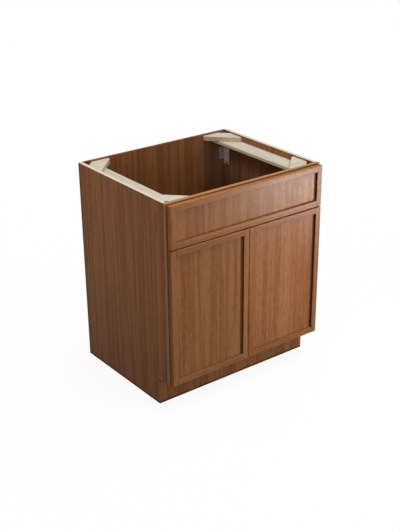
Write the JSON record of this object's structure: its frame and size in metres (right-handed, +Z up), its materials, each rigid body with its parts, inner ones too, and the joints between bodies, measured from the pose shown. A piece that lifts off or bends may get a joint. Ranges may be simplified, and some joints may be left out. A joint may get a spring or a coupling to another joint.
{
  "type": "sink base cabinet",
  "caption": "Wooden sink base cabinet with an open top, a fixed false front over a pair of hinged slim-framed doors, and a recessed toe kick.",
  "frame": {"origin": "middle of the footprint of the whole cabinet, doors included, on the floor", "axes": "+X to the right seen from the front, +Y to the back (the doors face -Y), +Z up"},
  "size_m": [0.762, 0.625, 0.8763],
  "materials": {
    "stained_wood": "satin medium-brown stain over hardwood, fine straight grain",
    "stained_plywood": "satin medium-brown stain over veneered plywood, vertical grain",
    "pale_wood": "bare pale wood, lightly sanded",
    "nickel_steel": "nickel-plated sheet steel",
    "grey_nylon": "moulded grey nylon",
    "bumper_rubber": "soft translucent rubber"
  },
  "bodies": {
    "case": {"left_side_panel": "stained_plywood", "right_side_panel": "stained_plywood", "back_panel": "stained_plywood", "bottom_deck": "stained_plywood", "toe_kick_board": "stained_wood", "face_frame_left_stile": "stained_wood", "face_frame_right_stile": "stained_wood", "face_frame_top_rail": "stained_wood", "face_frame_middle_rail": "stained_wood", "face_frame_bottom_rail": "stained_wood", "left_side_rail": "pale_wood", "right_side_rail": "pale_wood", "front_left_corner_block": "pale_wood", "front_right_corner_block": "pale_wood", "back_left_corner_block": "pale_wood", "back_right_corner_block": "pale_wood", "left_rear_bracket": "grey_nylon", "right_rear_bracket": "grey_nylon", "false_front_left_stile": "stained_wood", "false_front_right_stile": "stained_wood", "false_front_top_rail": "stained_wood", "false_front_bottom_rail": "stained_wood", "false_front_panel": "stained_wood", "false_front_screw_top_left": "nickel_steel", "false_front_screw_top_right": "nickel_steel", "false_front_screw_bottom_left": "nickel_steel", "false_front_screw_bottom_right": "nickel_steel", "false_front_bumper_top_left": "bumper_rubber", "false_front_bumper_top_right": "bumper_rubber", "false_front_bumper_bottom_left": "bumper_rubber", "false_front_bumper_bottom_right": "bumper_rubber", "left_lower_hinge_arm": "nickel_steel", "left_upper_hinge_arm": "nickel_steel", "right_lower_hinge_arm": "nickel_steel", "right_upper_hinge_arm": "nickel_steel"},
    "left_door": {"left_door_left_stile": "stained_wood", "left_door_right_stile": "stained_wood", "left_door_top_rail": "stained_wood", "left_door_bottom_rail": "stained_wood", "left_door_panel": "stained_wood", "left_lower_hinge_cup": "nickel_steel", "left_lower_hinge_pin": "nickel_steel", "left_upper_hinge_cup": "nickel_steel", "left_upper_hinge_pin": "nickel_steel", "left_door_bumper_bottom": "bumper_rubber", "left_door_bumper_top": "bumper_rubber"},
    "right_door": {"right_door_left_stile": "stained_wood", "right_door_right_stile": "stained_wood", "right_door_top_rail": "stained_wood", "right_door_bottom_rail": "stained_wood", "right_door_panel": "stained_wood", "right_lower_hinge_cup": "nickel_steel", "right_lower_hinge_pin": "nickel_steel", "right_upper_hinge_cup": "nickel_steel", "right_upper_hinge_pin": "nickel_steel", "right_door_bumper_bottom": "bumper_rubber", "right_door_bumper_top": "bumper_rubber"}
  },
  "joints": [
    {"name": "left_door_hinge", "type": "hinge", "parent": "case", "child": "left_door", "pos_m": [-0.3716, -0.303, 0.4], "axis": [0, 0, -1], "range_deg": [0, 105]},
    {"name": "right_door_hinge", "type": "hinge", "parent": "case", "child": "right_door", "pos_m": [0.3716, -0.303, 0.4], "axis": [0, 0, 1], "range_deg": [0, 105]}
  ]
}
